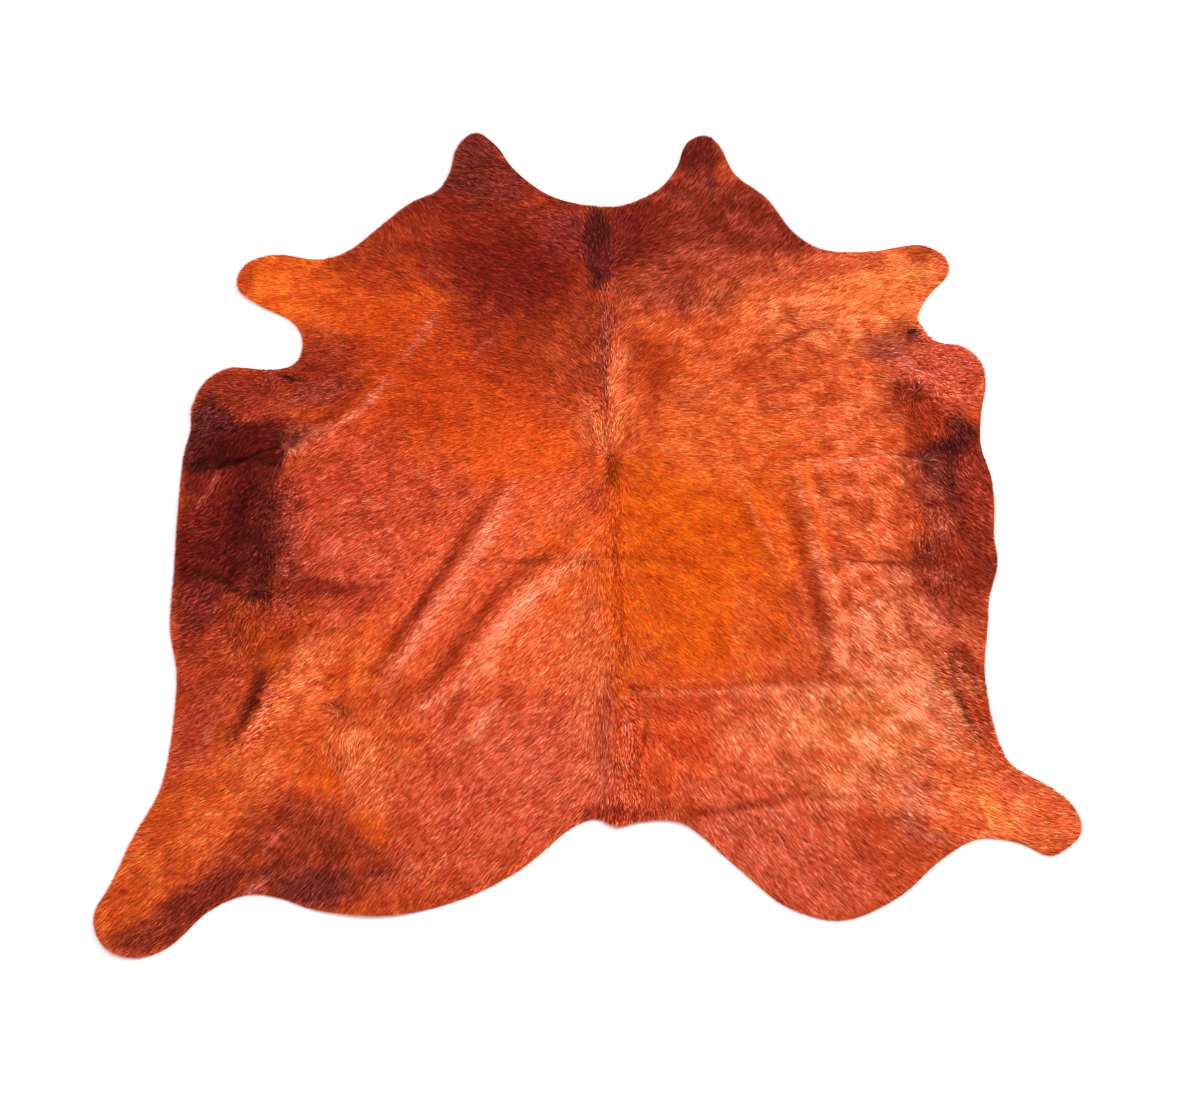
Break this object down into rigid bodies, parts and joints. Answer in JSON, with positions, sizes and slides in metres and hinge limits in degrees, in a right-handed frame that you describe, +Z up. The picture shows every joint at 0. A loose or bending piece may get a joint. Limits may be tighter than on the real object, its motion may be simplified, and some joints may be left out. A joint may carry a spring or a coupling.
{
  "type": "cowhide rug",
  "caption": "Whole dyed cowhide laid flat as a rug, hair side up, with its natural outline of neck, legs, belly edges and tail, and a few soft packing folds.",
  "frame": {"origin": "middle of the hide's outline, on the floor", "axes": "+Y from the tail towards the neck, +X to the right of someone at the tail who looks at the neck, +Z up from the skin side to the hair side"},
  "size_m": [1.8576, 2.0038, 0.0171],
  "materials": {
    "hair_coat": "short lying cattle hair, dyed orange over maroon, soft sheen",
    "tanned_leather": "chrome tanned split surface, sueded, dyed through at the cut edge"
  },
  "bodies": {
    "root": {"hide": "hair_coat"}
  },
  "joints": []
}
